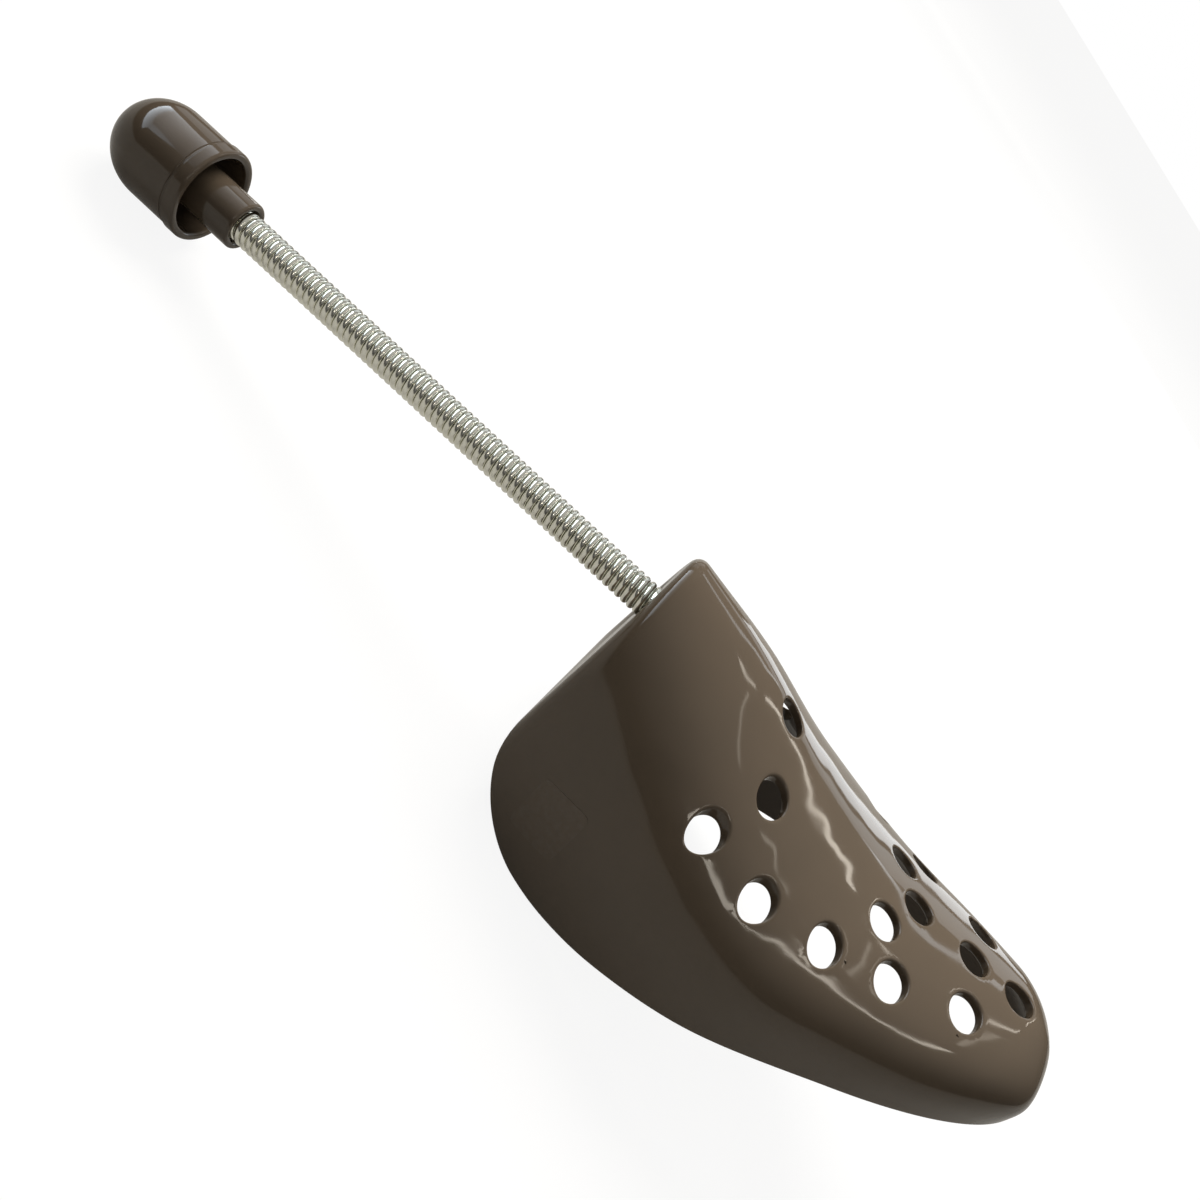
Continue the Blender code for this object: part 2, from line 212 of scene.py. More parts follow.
def coil(start, end):
    """Wire from start to end along the axis. Its middle is a helix that turns once in each pitch
    at the coil's mean radius. Round it runs a circle in the plane of the outward direction and
    of the direction square to that and to the wire. Also returns its straightened coordinates
    and how far each point faces outward."""
    mean = (SPRING_DIAMETER - WIRE_DIAMETER) / 2
    x = np.linspace(start, end, round((end - start) / PITCH * POINTS_PER_TURN) + 1)
    turn = 2 * math.pi * x / PITCH
    nought = np.zeros_like(x)
    out = np.stack((nought, np.cos(turn), np.sin(turn)), axis=-1)
    middle = np.stack((x, nought, nought), axis=-1) + mean * out
    rise = PITCH / (2 * math.pi)
    ahead = np.stack((nought + rise, -mean * np.sin(turn), mean * np.cos(turn)), axis=-1)
    ahead /= math.hypot(rise, mean)
    side = np.cross(ahead, out)
    around = np.arange(POINTS_AROUND_WIRE) * 2 * math.pi / POINTS_AROUND_WIRE
    radius = WIRE_DIAMETER / 2
    ring = np.cos(around)[:, None] * out[:, None] + np.sin(around)[:, None] * side[:, None]
    tube = middle[:, None] + radius * ring
    travelled = np.broadcast_to((turn * math.hypot(rise, mean))[:, None], tube.shape[:2])
    across = np.broadcast_to(radius * np.cos(around), tube.shape[:2])
    along = np.broadcast_to(radius * np.sin(around), tube.shape[:2])
    straight = np.stack((travelled, across, along), axis=-1)
    patches = [sheet(tube, around=True), fan(tube[0], middle[0]), fan(tube[-1], middle[-1])]
    ends = [np.vstack((straight[end_row], (travelled[end_row, 0], 0, 0))) for end_row in (0, -1)]
    straight = np.vstack((straight.reshape(-1, 3), *ends))
    return patches, straight, straight[:, 1] / radius


spring_axes = axes_along(spring_axis)
spring_finish = wire_finish()
mid_spring = -free_length / 2
halves = (
    ("coil_spring_toe_half", mid_spring, IN_SOCKET, ("toe", "spring"), (0.0, mid_spring)),
    (
        "coil_spring_heel_half", -free_length - IN_BOSS, mid_spring,
        ("spring", "heel"), (mid_spring, -free_length),
    ),
)
for name, start, end, bodies, bend in halves:
    patches, straight, outward = coil(start, end)
    half = piece_from(
        name, patches, spring_finish, spring_axes, straight_wire=straight, outward=outward
    )
    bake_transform(half)
    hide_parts("coil_spring")

# Toe shell. One injection moulding in glossy taupe polypropylene, open below, its rear closed by
# a flat wall that carries the spring's socket. The air holes are cut along the way the mould
# opens, and every edge outside is rounded by the mould.
SPRING_TILT = math.radians(5.1)
SHELL_LENGTH = 0.1401
SHELL_WALL = 0.0022
REAR_WALL = 0.0024
REAR_EDGE_ROUND = 0.0032
REAR_CORNER_RADIUS = 0.0242
RIM_ROUND = 0.0004
SOLE_DEPTH = 0.0544
SOLE_BREAK = 0.0357
SOLE_BLEND = 0.0140
SOLE_SLOPE = 0.370
RIDGE_STATIONS = (
    (0.0, 0.0169), (0.027, 0.0116), (0.055, 0.0024),
    (0.082, -0.0024), (0.110, -0.0005), (0.137, 0.0028),
)
WIDTH_STATIONS = (
    (0.0, 0.0252), (0.034, 0.0365), (0.068, 0.0400), (0.102, 0.0317), (0.137, 0.0230),
)
RIDGE_NOSE = (0.87, 1.9)
WIDTH_NOSE = (0.61, 2.9)
ARCH_CROWN_POWER = 1.5
ARCH_WALL_POWER = 3.8
HOLE_RADIUS = 0.0041
HOLE_LIP = 0.0006
HOLE_INNER_LIP = 0.0003
# Each hole is its x, its y and its width across as a share of its length
SINGLE_HOLES = (
    (0.0398, 0.0, 1.0),
    (0.0908, 0.0, 1.0),
    (0.1071, 0.0, 1.0),
    (0.1201, 0.0, 1.0),
    (0.0474, -0.0164, 1.0),
)
PAIRED_HOLES = (
    (0.0421, 0.0291, 0.78),
    (0.0595, 0.0300, 0.88),
    (0.0764, 0.0256, 1.0),
    (0.0926, 0.0202, 1.0),
    (0.1097, 0.0134, 1.0),
    (0.0848, 0.0110, 1.0),
)
RIB_THICKNESS = 0.0018
CROWN_RIB_LENGTH = 0.0260
SIDE_RIB_LENGTH = 0.0150
SOCKET_DEPTH = 0.0140
SOCKET_DIAMETER = 0.0126
SOCKET_FLOOR = 0.0020
SPRING_CLEARANCE = 0.0003
MOUTH_CHAMFER = 0.0004
SHELL_ROWS = 190
SHELL_COLUMNS = 191
INSIDE_COLUMNS = 121
EDGE_STEPS = 6
INNER_LIP_STEPS = 3
RIM_STEPS = 5
FLOOR_STEPS = 60
RIB_POINTS = 12
HOLE_SIDES = 72
RING_MARGIN = 0.00035
REAR_FACE_INSET = 0.98
LENGTH_SAMPLES = 8001
ARCH_SAMPLES = 4001
TAUPE = (0.136, 0.104, 0.072, 1.0)
TAUPE_WARM = (0.148, 0.111, 0.076, 1.0)

ring_angles = (np.arange(HOLE_SIDES) + 0.5) * 2 * math.pi / HOLE_SIDES - math.pi


def smooth_line(stations, x):
    """Heights of a smooth curve through the (x, height) stations: cubics with shared slopes."""
    at, height = np.array(stations).T
    slope = np.gradient(height, at)
    x = np.clip(x, at[0], at[-1])
    left = np.clip(np.searchsorted(at, x) - 1, 0, len(at) - 2)
    span = at[left + 1] - at[left]
    t = (x - at[left]) / span
    rise = height[left + 1] - height[left]
    start, end = slope[left] * span, slope[left + 1] * span
    squared, cubed = 3 * rise - 2 * start - end, start + end - 2 * rise
    return height[left] + start * t + squared * t**2 + cubed * t**3


def nose_factor(x, nose, inset):
    """1 along the body, falling to 0 at the toe like the end of a superellipse."""
    start, power = nose
    share = np.clip((x / (SHELL_LENGTH - inset) - start) / (1 - start), 0, 1)
    return (1 - share**power) ** (1 / power)


def sole_height(x):
    """The sole line: level at the rear, then rising to the toe, with a smooth bend between."""
    past = x - SOLE_BREAK
    bend = np.clip(past + SOLE_BLEND, 0, 2 * SOLE_BLEND) ** 2 / (4 * SOLE_BLEND)
    return -SOLE_DEPTH + SOLE_SLOPE * (bend + np.maximum(past - SOLE_BLEND, 0))


def half_width(x, inset=0.0):
    return (smooth_line(WIDTH_STATIONS, x) - inset) * nose_factor(x, WIDTH_NOSE, inset)


def ridge_height(x, inset=0.0):
    rise = smooth_line(RIDGE_STATIONS, x) - inset - sole_height(x)
    return sole_height(x) + rise * nose_factor(x, RIDGE_NOSE, inset)


def foot_height(x):
    """Where the walls end above the rim's round: the sole line with the rear corner rounded."""
    back = np.clip(REAR_CORNER_RADIUS - x, 0, REAR_CORNER_RADIUS)
    corner = np.sqrt(REAR_CORNER_RADIUS**2 - back**2)
    return sole_height(x) + REAR_CORNER_RADIUS - corner + RIM_ROUND


def arch_rise(share):
    """Height of the arch, 0 to 1, at a share of its half width: a soft crown on steep walls."""
    return (1 - np.abs(share) ** ARCH_CROWN_POWER) ** (1 / ARCH_WALL_POWER)


def surface_height(x, y, inset=0.0):
    share = np.clip(y / half_width(x, inset), -1, 1)
    return sole_height(x) + (ridge_height(x, inset) - sole_height(x)) * arch_rise(share)


def foot_share(x, inset):
    """The share of the half width that the arch reaches where it ends at the foot."""
    rise = (foot_height(x) - sole_height(x)) / (ridge_height(x, inset) - sole_height(x))
    return (1 - np.clip(rise, 0, 1) ** ARCH_WALL_POWER) ** (1 / ARCH_CROWN_POWER)


def arches(x, share, inset):
    """Arches across the shell: at each x, points at shares of the foot's width, -1 to 1, whose
    height follows the superellipse of the two arch powers."""
    x, inset = x[:, None], inset[:, None]
    across = share * foot_share(x, inset)
    low, high = sole_height(x), ridge_height(x, inset)
    wide = np.broadcast_to(x, across.shape)
    height = low + (high - low) * arch_rise(across)
    return np.stack((wide, half_width(x, inset) * across, height), axis=-1)


def even_places(start, inset, count):
    """Places along the shell to where the ridge meets the foot, spaced evenly by how far the
    ridge, the foot's edge and the sole travel together."""
    end = SHELL_LENGTH - inset
    x = start + (end - start) * np.sin(np.linspace(0, math.pi / 2, LENGTH_SAMPLES))
    met = np.argmax(ridge_height(x, inset) <= foot_height(x))
    x = x[:met]
    foot = half_width(x, inset) * foot_share(x, inset)
    lines = np.stack((x, foot, ridge_height(x, inset), foot_height(x)))
    travel = np.concatenate(([0.0], np.cumsum(np.sqrt((np.diff(lines) ** 2).sum(axis=0)))))
    return np.interp(np.linspace(0, travel[-1], count), travel, x)


def even_shares(count):
    """Shares of the foot's width that lie evenly along an arch of the shell's middle."""
    x = np.full(1, SHELL_LENGTH / 2)
    turn = np.linspace(-1, 1, ARCH_SAMPLES)
    share = np.sign(turn) * (1 - (1 - np.abs(turn)) ** 4)
    middle = arches(x, share, np.zeros(1))[0]
    travel = np.concatenate(([0.0], np.cumsum(np.linalg.norm(np.diff(middle, axis=0), axis=1))))
    return np.interp(np.linspace(0, travel[-1], count), travel, share)


def opened(surface, holes, reach):
    """A grid of surface without the cells near the holes, and for each hole the border of what
    was taken out, in the order of its angle round the hole."""
    faces = grid_faces(*surface.shape[:2])
    gone = np.zeros((surface.shape[0] - 1, surface.shape[1] - 1), bool)
    borders = []
    for x, y, narrow in holes:
        away_x, away_y = surface[..., 0] - x, (surface[..., 1] - y) / narrow
        near = np.hypot(away_x, away_y) < reach
        cells = near[:-1, :-1] | near[1:, :-1] | near[:-1, 1:] | near[1:, 1:]
        gone |= cells
        beside = np.pad(cells.astype(int), 1)
        beside = beside[:-1, :-1] + beside[1:, :-1] + beside[:-1, 1:] + beside[1:, 1:]
        border = (beside > 0) & (beside < 4)
        angle = np.arctan2(away_y[border], away_x[border])
        order = np.argsort(angle)
        borders.append((surface[border][order], angle[order]))
    return (surface.reshape(-1, 3), faces[~gone.ravel()]), borders


def zipped(first, first_angles, second, second_angles):
    """Triangles between two closed rings of points, each point joined in the order of its angle."""
    first, second = np.vstack((first, first[:1])), np.vstack((second, second[:1]))
    first_angles = np.append(first_angles, first_angles[0] + 2 * math.pi)
    second_angles = np.append(second_angles, second_angles[0] + 2 * math.pi)
    count, here, there = len(first), np.arange(len(first) - 1), np.arange(len(second) - 1)
    facing = np.searchsorted(second_angles, first_angles[1:], "left") - 1
    facing = np.clip(facing, 0, len(second) - 1)
    behind = np.searchsorted(first_angles, second_angles[1:], "right") - 1
    behind = np.clip(behind, 0, count - 1)
    from_first = np.column_stack((here, here + 1, count + facing))
    from_second = np.column_stack((count + there, count + there + 1, behind))
    return np.vstack((first, second)), np.vstack((from_first, from_second))


def hole_patches(hole, outside, inside):
    """The wall of one hole between the borders that were opened for it. Its lip leaves the outer
    surface tangentially and turns down into the straight wall along a quarter circle."""
    x, y, narrow = hole

    def ring(radius, inset, lift):
        at_x = x + radius * np.cos(ring_angles)
        at_y = y + radius * np.sin(ring_angles) * narrow
        return np.column_stack((at_x, at_y, surface_height(at_x, at_y, inset) + lift))

    lip = [
        ring(HOLE_RADIUS + HOLE_LIP * (1 - math.sin(a)), 0.0, HOLE_LIP * (math.cos(a) - 1))
        for a in np.linspace(0, math.pi / 2, EDGE_STEPS + 1)
    ]
    inner = [
        ring(
            HOLE_RADIUS + HOLE_INNER_LIP * (1 - math.cos(a)),
            SHELL_WALL,
            HOLE_INNER_LIP * (1 - math.sin(a)),
        )
        for a in np.linspace(0, math.pi / 2, INNER_LIP_STEPS + 1)
    ]
    upper, lower = lip[-1], inner[0]
    wall = [upper + (lower - upper) * share for share in (1 / 3, 2 / 3)]
    rows = np.stack((*lip, *wall, *inner))
    return [
        sheet(rows, around=True),
        zipped(*outside, rows[0], ring_angles),
        zipped(*inside, rows[-1], ring_angles),
    ]


def tube_ring(radius, along=0.0, plane=None):
    """A ring round the spring's axis in the shell frame, square to the axis or cut by a plane."""
    y, up = radius * np.cos(ring_angles), radius * np.sin(ring_angles)
    lean, rise = math.cos(SPRING_TILT), math.sin(SPRING_TILT)
    if plane is not None:
        along = (plane + up * rise) / lean
    return np.column_stack((lean * along - rise * up, y, rise * along + lean * up))


def axis_point(along):
    return np.array((math.cos(SPRING_TILT) * along, 0.0, math.sin(SPRING_TILT) * along))


def sorted_round(ring):
    """A ring of points in the order of their angle round the spring's axis, and those angles."""
    angle = np.arctan2(ring[:, 2], ring[:, 1])
    order = np.argsort(angle)
    return ring[order], angle[order]


def straight_between(start, end, count):
    """Points between two others, without them."""
    return start + (end - start) * (np.arange(1, count + 1) / (count + 1))[:, None]


def plate(outline, normal):
    """A closed rib: a convex outline of points, moved half the rib's thickness to both sides."""
    apart = np.array(normal) * RIB_THICKNESS / 2
    rows = np.stack((outline - apart, outline + apart))
    return [sheet(rows, around=True), *(fan(row, row.mean(axis=0)) for row in rows)]


def rib_patches():
    """An upright rib from the spring's axis to the ridge's inside, and a level one to both side
    walls. The socket's bore isn't cut out of them, so both run through it, where nothing shows."""
    start, inset = REAR_WALL / 2, SHELL_WALL / 2
    under_ridge = np.linspace(start, CROWN_RIB_LENGTH, RIB_POINTS)
    crown = np.column_stack((under_ridge, 0 * under_ridge, ridge_height(under_ridge, inset)))
    crown = np.vstack((crown, (SOCKET_DEPTH, 0.0, 0.0), (start, 0.0, 0.0)))
    low, high = sole_height(start), ridge_height(start, inset)
    share = (1 - (-low / (high - low)) ** ARCH_WALL_POWER) ** (1 / ARCH_CROWN_POWER)
    reach = half_width(start, inset) * share
    level = np.array(((start, -reach, 0.0), (SIDE_RIB_LENGTH, 0.0, 0.0), (start, reach, 0.0)))
    return plate(crown, (0.0, 1.0, 0.0)) + plate(level, (0.0, 0.0, 1.0))


def shell_patches():
    air_holes = list(SINGLE_HOLES)
    air_holes += [(x, side * y, narrow) for x, y, narrow in PAIRED_HOLES for side in (-1, 1)]
    turns = np.linspace(0, math.pi / 2, EDGE_STEPS + 1)[:-1]
    body = even_places(REAR_EDGE_ROUND, 0.0, SHELL_ROWS)
    rounded = REAR_EDGE_ROUND * (1 - np.cos(turns)), REAR_EDGE_ROUND * (1 - np.sin(turns))
    places = np.concatenate((rounded[0], body))
    insets = np.concatenate((rounded[1], np.zeros(SHELL_ROWS)))
    outer = arches(places, even_shares(SHELL_COLUMNS), insets)
    inner_places = even_places(REAR_WALL, SHELL_WALL, SHELL_ROWS)
    inner = arches(inner_places, even_shares(INSIDE_COLUMNS), np.full(SHELL_ROWS, SHELL_WALL))

    skin, outer_borders = opened(outer, air_holes, HOLE_RADIUS + HOLE_LIP + RING_MARGIN)
    lining, inner_borders = opened(inner, air_holes, HOLE_RADIUS + HOLE_INNER_LIP + RING_MARGIN)
    patches = [skin, lining]
    for hole, outside, inside in zip(air_holes, outer_borders, inner_borders):
        patches += hole_patches(hole, outside, inside)

    outer_floor = straight_between(outer[0, 0], outer[0, -1], FLOOR_STEPS)
    inner_floor = straight_between(inner[0, 0], inner[0, -1], FLOOR_STEPS + 2 * EDGE_STEPS)
    outer_edge = np.vstack((outer[::-1, 0], outer_floor, outer[:, -1]))
    inner_edge = np.vstack((inner[::-1, 0], inner_floor, inner[:, -1]))
    across = inner_edge - outer_edge
    turned_in = RIM_ROUND / np.linalg.norm(across, axis=1)

    def rim_rows(edge, toward):
        return [
            edge + toward * ((1 - math.cos(a)) * turned_in)[:, None]
            - (0, 0, RIM_ROUND * math.sin(a))
            for a in np.linspace(0, math.pi / 2, RIM_STEPS)
        ]

    rim = (*rim_rows(outer_edge, across), *rim_rows(inner_edge, -across)[::-1])
    patches.append(sheet(np.stack(rim), around=True))

    bore, socket = SPRING_DIAMETER / 2 + SPRING_CLEARANCE, SOCKET_DIAMETER / 2
    rear_outline = np.vstack((outer[0], outer_floor[::-1]))
    rear_border, rear_angles = sorted_round(rear_outline)
    inset_border = rear_border * REAR_FACE_INSET
    mouth, mouth_angles = sorted_round(tube_ring(bore + MOUTH_CHAMFER, plane=0.0))
    patches.append(sheet(np.stack((rear_border, inset_border)), around=True))
    patches.append(zipped(inset_border, rear_angles, mouth, mouth_angles))
    bore_rows = (
        tube_ring(bore + MOUTH_CHAMFER, plane=0.0),
        tube_ring(bore, plane=MOUTH_CHAMFER),
        tube_ring(bore, SOCKET_DEPTH),
    )
    patches.append(sheet(np.stack(bore_rows), around=True))
    patches.append(fan(bore_rows[-1], axis_point(SOCKET_DEPTH)))

    inner_border, inner_angles = sorted_round(np.vstack((inner[0], inner_floor[::-1])))
    root, root_angles = sorted_round(tube_ring(socket, plane=REAR_WALL))
    patches.append(zipped(inner_border, inner_angles, root, root_angles))
    end = SOCKET_DEPTH + SOCKET_FLOOR
    socket_rows = (
        tube_ring(socket, plane=REAR_WALL),
        tube_ring(socket, end - MOUTH_CHAMFER),
        tube_ring(socket - MOUTH_CHAMFER, end),
    )
    patches += [sheet(np.stack(socket_rows), around=True), fan(socket_rows[-1], axis_point(end))]
    return patches + rib_patches()


def moulded_finish(name, taupe, warm_taupe):
    """Glossy moulded plastic: two near taupes that flowed together, faint smears from handling,
    a soft waviness where the wall shrank, and finer ripples from the way the plastic filled."""
    material, start, shader = new_finish(name, IOR=1.49)
    place = start.node("TexCoord", {}, output="Object")
    flow = start.node("TexNoise", {"Vector": place, "Scale": 38.0, "Detail": 3.0})
    smears = start.node("TexNoise", {"Vector": place, "Scale": 90.0, "Detail": 5.0})
    shrink = start.node("TexNoise", {"Vector": place, "Scale": 55.0, "Detail": 0.0})
    ripple = start.node("TexNoise", {"Vector": place, "Scale": 150.0, "Detail": 0.0})
    flow.spread(0.3, 0.7, 0.0, 1.0).tint(taupe, warm_taupe).drive(shader, "Base Color")
    smears.spread(0.35, 0.75, 0.05, 0.10).drive(shader, "Roughness")
    bump = start.node("Bump", {"Height": 0.00035 * shrink + 0.00009 * ripple, "Distance": 1.0})
    bump.drive(shader, "Normal")
    return material


spin = np.array(((math.cos(SPRING_TILT), 0.0, -math.sin(SPRING_TILT)), (0.0, 1.0, 0.0),
                 (math.sin(SPRING_TILT), 0.0, math.cos(SPRING_TILT))))
shell_axes = spin @ spring_axes
shell_finish = moulded_finish("shell_plastic", TAUPE, TAUPE_WARM)
shell = piece_from("toe_shell_moulding", shell_patches(), shell_finish, shell_axes, sharp=50.0)
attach(shell, "toe")
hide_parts("toe_shell")

# Film. A small clear sticker with round corners, pressed onto the side of the shell near its rear.
# It carries nothing, and only its edges and its own gloss show.
FILM_MIDDLE = (0.0197, -0.0363)
FILM_HALF_LENGTH = (-0.00074, 0.00805)
FILM_HALF_WIDTH = (0.00627, 0.00210)
FILM_CORNER_POWER = 9.0
FILM_THICKNESS = 0.00008
FILM_SUNK = 0.00005
FILM_SIDES = 96
FILM_RINGS = 16
FILM_HAZE = (0.158, 0.122, 0.088, 1.0)


def film_patches():
    """Rings of a superellipse from the film's middle to its edge, laid on the shell's side: at
    each x and z the arch's height is solved for the share of the half width."""
    turn = np.arange(FILM_SIDES) * 2 * math.pi / FILM_SIDES
    edge = np.abs(np.cos(turn)) ** FILM_CORNER_POWER + np.abs(np.sin(turn)) ** FILM_CORNER_POWER
    edge = edge ** (-1 / FILM_CORNER_POWER)
    out = np.linspace(1 / FILM_RINGS, 1, FILM_RINGS)[:, None] * edge
    along, across = (out * np.sin(turn))[..., None], (out * np.cos(turn))[..., None]
    x, z = np.moveaxis(FILM_MIDDLE + along * FILM_HALF_LENGTH + across * FILM_HALF_WIDTH, -1, 0)

    def laid(lift):
        low, high = sole_height(x), ridge_height(x)
        share = (1 - ((z - low) / (high - low)) ** ARCH_WALL_POWER) ** (1 / ARCH_CROWN_POWER)
        return np.stack((x, -half_width(x) * share - lift, z), axis=-1)

    top, under = laid(FILM_THICKNESS), laid(-FILM_SUNK)
    rows = np.concatenate((top, under[::-1]))
    closing = [fan(rows[0], top[0].mean(axis=0)), fan(rows[-1], under[0].mean(axis=0))]
    return [sheet(rows, around=True), *closing]


def film_finish():
    """Film so clear that it has the plastic's colour, a little paler where its glue is thin."""
    material, start, shader = new_finish("film_on_plastic", Roughness=0.2)
    place = start.node("TexCoord", {}, output="Object")
    glue = start.node("TexNoise", {"Vector": place, "Scale": 700.0, "Detail": 2.0})
    glue.spread(0.35, 0.7, 0.0, 1.0).tint(TAUPE_WARM, FILM_HAZE).drive(shader, "Base Color")
    return material


film = piece_from("clear_film", film_patches(), film_finish(), shell_axes, sharp=50.0)
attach(film, "toe")

# Heel knob. The second moulding, in the same plastic, its colour painted a little darker as shade:
# a hollow dome with a raised band round its open mouth, and on its axis a boss whose bore grips the
# spring.
KNOB_DIAMETER = 0.0241
KNOB_LENGTH = 0.0267
KNOB_DOME_LENGTH = 0.0118
KNOB_WALL = 0.0017
KNOB_BAND_WIDTH = 0.0033
KNOB_BAND_STEP = 0.0003
KNOB_CREASE = 0.0002
KNOB_EDGE_ROUND = 0.0008
BOSS_DIAMETER = 0.0121
BOSS_REACH = 0.0103
BOSS_CHAMFER = 0.0007
BOSS_BORE_DEPTH = 0.0200
KNOB_SIDES = 144
# The shell's two taupes painted darker as shade, for the knob
KNOB_SHADED_TAUPE = (0.100, 0.076, 0.053, 1.0)
KNOB_SHADED_WARM_TAUPE = (0.110, 0.082, 0.056, 1.0)


def quarter(x, radius, long, tall, start, end, steps=10):
    """Points of an ellipse's arc about (x, radius), from one angle to another in degrees."""
    turns = np.radians(np.linspace(start, end, steps))
    return np.column_stack((x + long * np.cos(turns), radius + tall * np.sin(turns)))


def knob_patches():
    """A grid from the knob's outline, as (along the axis, radius), turned once about the axis.
    Rings held close to the ends of the arcs keep the straight parts straight in the gloss."""
    boss_end = -free_length
    mouth = boss_end - BOSS_REACH
    shoulder = mouth - KNOB_LENGTH + KNOB_DOME_LENGTH
    band, outside = KNOB_DIAMETER / 2, KNOB_DIAMETER / 2 - KNOB_BAND_STEP
    inside, boss = outside - KNOB_WALL, BOSS_DIAMETER / 2
    bore = SPRING_DIAMETER / 2 + SPRING_CLEARANCE
    band_start, edge, step = mouth - KNOB_BAND_WIDTH, KNOB_EDGE_ROUND, KNOB_BAND_STEP
    root = math.degrees(math.asin(boss / inside))
    held = 0.0001
    outline = np.vstack((
        quarter(shoulder, 0.0, KNOB_DOME_LENGTH, outside, 180, 90, 40),
        ((shoulder + held, outside), (band_start - 3 * step - held, outside)),
        quarter(band_start - 2 * step, outside, step, KNOB_CREASE, 180, 360, 9),
        quarter(band_start - step / 2, outside + step / 2, step / 2, step / 2, 270, 360, 6),
        quarter(band_start + step / 2, band - step / 2, step / 2, step / 2, 180, 90, 6),
        ((band_start + step / 2 + held, band), (mouth - edge - held, band)),
        quarter(mouth - edge, band - edge, edge, edge, 90, 0),
        quarter(mouth - edge, inside + edge, edge, edge, 0, -90),
        quarter(shoulder, 0.0, KNOB_DOME_LENGTH - KNOB_WALL, inside, 90, 180 - root, 24),
        quarter(boss_end - BOSS_CHAMFER, boss - BOSS_CHAMFER, BOSS_CHAMFER, BOSS_CHAMFER, 90, 0),
        ((boss_end, bore + BOSS_CHAMFER / 2), (boss_end - BOSS_CHAMFER / 2, bore)),
        ((boss_end - BOSS_BORE_DEPTH, bore), (boss_end - BOSS_BORE_DEPTH, 0.0)),
    ))
    angles = np.arange(KNOB_SIDES) * 2 * math.pi / KNOB_SIDES
    x, radius = outline.T[:, :, None]
    turned = np.stack((x + 0 * angles, radius * np.cos(angles), radius * np.sin(angles)), axis=-1)
    return [sheet(turned, around=True)]


knob_finish = moulded_finish("knob_plastic", KNOB_SHADED_TAUPE, KNOB_SHADED_WARM_TAUPE)
knob = piece_from("heel_knob_moulding", knob_patches(), knob_finish, spring_axes, sharp=50.0)
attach(knob, "heel")
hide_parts("heel_knob")

# Table. A wide pale sheet that keeps the soft shadow under the tree. It shows white to the camera
# and paler in reflections than it is, under a world that is white to the camera too.
TABLE_SIZE = 12.0
TABLE_DROP = 0.0002
TABLE_GREY = (0.28, 0.275, 0.26, 1.0)
TABLE_LIGHT = 1.5
SEEN_SHARE = 0.6
REFLECTED_SHARE = 0.11
TABLE_REFLECTED = (1.0, 0.94, 0.84, 1.0)
WHITE = (1.0, 1.0, 1.0, 1.0)
SKY_HEIGHTS = (0.2, 0.95)
SKY_STRENGTHS = (0.06, 0.40)
SKY_COLOUR = (1.0, 0.97, 0.92, 1.0)


def white_to_camera(tree, plain):
    """Mixes plain white light into a shader for the rays that see the background directly, and
    a little for those that see it in a reflection."""
    rays = Signal(tree)
    camera, glossy, clear = [
        rays.node("LightPath", {}, output=f"Is {kind} Ray")
        for kind in ("Camera", "Glossy", "Transmission")
    ]
    seen = rays.math("MAXIMUM", camera, clear) * SEEN_SHARE
    shade = glossy.tint(WHITE, TABLE_REFLECTED)
    light = rays.node("Emission", {"Strength": TABLE_LIGHT, "Color": shade})
    return rays.node("MixShader", {0: seen + REFLECTED_SHARE * glossy, 1: plain, 2: light})


table_mesh = bpy.data.meshes.new("table")
side = TABLE_SIZE / 2
corners = [(-side, -side, 0), (side, -side, 0), (side, side, 0), (-side, side, 0)]
table_mesh.from_pydata(corners, [], [(0, 1, 2, 3)])
table = bpy.data.objects.new("table", table_mesh)
table.location.z = -TABLE_DROP
bpy.context.collection.objects.link(table)
table_finish, _, table_shader = new_finish("table", Base_Color=TABLE_GREY, Roughness=1.0)
table_mesh.materials.append(table_finish)
table_tree = table_finish.node_tree
matte = Signal(table_tree, table_shader.outputs[0])
white_to_camera(table_tree, matte).drive(table_tree.nodes["Material Output"], "Surface")

world = bpy.data.worlds.new("studio")
world.use_nodes = True
bpy.context.scene.world = world
sky = Signal(world.node_tree)
upward = sky.node("SeparateXYZ", {0: sky.node("TexCoord", {}, output="Generated")}, output="Z")
strength = upward.spread(*SKY_HEIGHTS, *SKY_STRENGTHS)
dim = sky.node("Background", {"Strength": strength, "Color": SKY_COLOUR})
white = sky.node("Background", {"Strength": 1.0, "Color": WHITE})
seen_directly = sky.node("LightPath", {}, output="Is Camera Ray")
mixed = sky.node("MixShader", {0: seen_directly, 1: dim, 2: white})
mixed.drive(world.node_tree.nodes["World Output"], "Surface")

# Camera. It looks down on the tree with the toe toward it and low in the frame.
YAW, DROP, ROLL = np.radians((42.9, 34.28, 2.9))
SPRING_DISTANCE = 0.247
FRAME_PIXELS = 1200
FOCAL_PIXELS = 1120
WALL_POINT_PIXEL = (648, 601)
SENSOR = 36.0
NEAREST_SEEN = 0.01

ahead = np.array((math.cos(YAW) * math.cos(ROLL), math.sin(YAW) * math.cos(ROLL), -math.sin(ROLL)))
above = np.array((math.cos(DROP) * math.sin(YAW), -math.cos(DROP) * math.cos(YAW), -math.sin(DROP)))
above -= ahead * (above @ ahead)
above /= np.linalg.norm(above)
seen = np.array((ahead, np.cross(above, ahead), above))
off_middle = (np.array(WALL_POINT_PIXEL) - FRAME_PIXELS / 2) / FOCAL_PIXELS
to_wall = np.append(off_middle, 1.0) * SPRING_DISTANCE
camera_place = wall_point - seen @ to_wall @ spring_axes
right, down, forward = seen.T @ spring_axes
lens = bpy.data.cameras.new("camera")
lens.sensor_width = SENSOR
lens.lens = SENSOR * FOCAL_PIXELS / FRAME_PIXELS
lens.clip_start = NEAREST_SEEN
camera = bpy.data.objects.new("camera", lens)
placed = np.eye(4)
placed[:3, :3] = np.stack((right, -down, -forward), axis=-1)
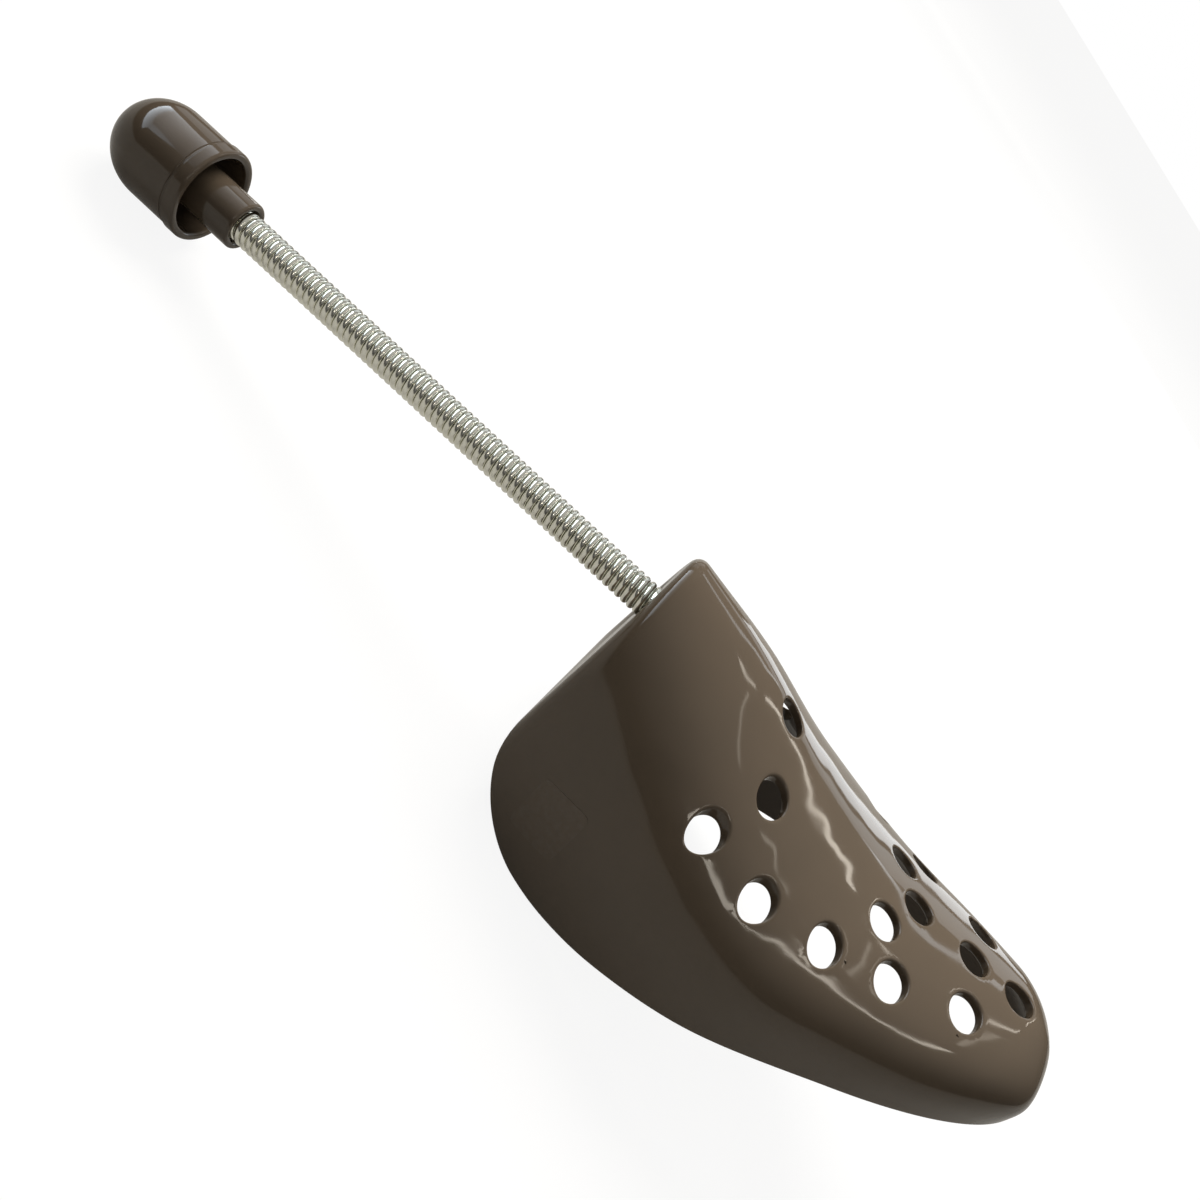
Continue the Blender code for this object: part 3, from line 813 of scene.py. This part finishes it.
placed[:3, 3] = camera_place
bpy.context.collection.objects.link(camera)
camera.matrix_world = Matrix(placed)
bpy.context.scene.camera = camera

# Lamps. Four soft lamps light the tree, and the one overhead leaves no mark of its own in the
# gloss. The panes and the tubes light nothing but reflections: a window and two walls, and lines of
# tubes overhead, which the shell's faint waves bend.
LAMP_DISTANCE = 1.5
TUBE_HEIGHT = 1.0
PANE_COLUMNS = 13
PANE_ROWS = 7
WARM, COOL, BLUE = (1.0, 0.92, 0.80, 1.0), (0.93, 0.97, 1.0, 1.0), (0.80, 0.90, 1.0, 1.0)
BLACK = (0.0, 0.0, 0.0, 1.0)


def softbox(name, bearing, rise, distance, size, radiance, colour=WHITE[:3], mirrored=True):
    """A flat lamp in the direction of a bearing and a rise in degrees, facing the origin."""
    turn, lift = math.radians(bearing), math.radians(rise)
    level = math.cos(lift)
    toward = Vector((level * math.cos(turn), level * math.sin(turn), math.sin(lift)))
    lamp = bpy.data.lights.new(name, "AREA")
    lamp.shape = "RECTANGLE"
    lamp.size, lamp.size_y = size
    lamp.energy = math.pi * size[0] * size[1] * radiance
    lamp.color = colour
    thing = bpy.data.objects.new(name, lamp)
    bpy.context.collection.objects.link(thing)
    thing.location = distance * toward
    thing.rotation_mode = "QUATERNION"
    thing.rotation_quaternion = toward.to_track_quat("Z", "Y")
    thing.visible_glossy = mirrored


softbox("window_behind", 70, 6, LAMP_DISTANCE, (0.42, 0.32), 2.1, COOL[:3])
softbox("wall_behind", 70, 24, LAMP_DISTANCE, (0.60, 0.45), 0.9, COOL[:3])
softbox("far_window", 121, 1.5, LAMP_DISTANCE, (0.05, 0.08), 6.0)
softbox("overhead", 115, 53, 1.6, (1.1, 1.1), 10.2, (1.0, 0.98, 0.95), mirrored=False)

# Each tube is its width, its radiance, its colour and its path at the tubes' height
TUBES = (
    ("warm_pane", 0.12, 6.0, WARM, ((0.2, -1.7), (0.36, -1.2))),
    ("warm_tube_near", 0.026, 9.0, WARM, ((0.36, -1.2), (0.46, -0.9), (0.5, -0.5), (0.46, -0.32))),
    ("warm_tube_middle", 0.022, 3.0, WARM, ((0.39, -0.16), (0.34, 0.05), (0.34, 0.24))),
    ("warm_tube_far", 0.026, 8.0, WARM, ((0.51, 0.53), (0.6, 0.68), (0.9, 1.1))),
    ("warm_tube_rear", 0.018, 7.0, WARM, ((0.27, 0.27), (0.32, 0.33), (0.38, 0.40))),
    ("cool_tube", 0.05, 3.0, COOL, ((0.12, 0.52), (0.26, 0.66), (0.48, 0.98), (0.8, 1.6))),
)
# Each pane is its bearings and its rises in degrees, its radiance, what is left of its light at the
# far end of each, and its colour
PANES = (
    ("window_left", (150, 214), (17, 32), 9.0, (0.3, 0.4), BLUE),
    ("wall_left", (150, 214), (32, 54), 3.2, (0.12, 0.2), (0.88, 0.94, 1.0, 1.0)),
    ("wall_beside", (92, 142), (10, 42), 0.7, (1.0, 1.0), COOL),
)


def glowing_sheet(name, points, radiance, colour, glow):
    """A lit surface on a grid of points, whose light follows glow, a value for each point."""
    mesh = bpy.data.meshes.new(name)
    mesh.from_pydata(points.reshape(-1, 3), [], grid_faces(*points.shape[:2]).tolist())
    kept = mesh.attributes.new("glow", "FLOAT", "POINT")
    kept.data.foreach_set("value", glow.astype(np.float32).ravel())
    material, start, shader = new_finish(name, Emission_Strength=radiance, Base_Color=BLACK)
    share = start.node("Attribute", {}, output="Fac", attribute_name="glow")
    share.tint(BLACK, colour).drive(shader, "Emission Color")
    mesh.materials.append(material)
    thing = bpy.data.objects.new(name, mesh)
    bpy.context.collection.objects.link(thing)
    thing.visible_camera = False
    thing.visible_diffuse = False


for name, width, radiance, colour, path in TUBES:
    line = np.array(path)
    heading = np.gradient(line, axis=0)
    heading /= np.linalg.norm(heading, axis=1)[:, None]
    beside = np.column_stack((-heading[:, 1], heading[:, 0])) * width / 2
    strip = np.stack((line - beside, line + beside), axis=1)
    strip = np.concatenate((strip, np.full((*strip.shape[:2], 1), TUBE_HEIGHT)), axis=-1)
    glowing_sheet(name, strip, radiance, colour, np.ones(strip.shape[:2]))

for name, bearings, rises, radiance, faded, colour in PANES:
    turns = np.radians(np.linspace(*bearings, PANE_COLUMNS))
    lifts = np.radians(np.linspace(*rises, PANE_ROWS))
    turn, lift = np.meshgrid(turns, lifts)
    level = np.cos(lift)
    toward = np.stack((level * np.cos(turn), level * np.sin(turn), np.sin(lift)), axis=-1)
    fade = np.linspace(1, faded[1], PANE_ROWS)[:, None] * np.linspace(1, faded[0], PANE_COLUMNS)
    glowing_sheet(name, LAMP_DISTANCE * toward, radiance, colour, fade)

bpy.context.scene.view_settings.view_transform = "Standard"
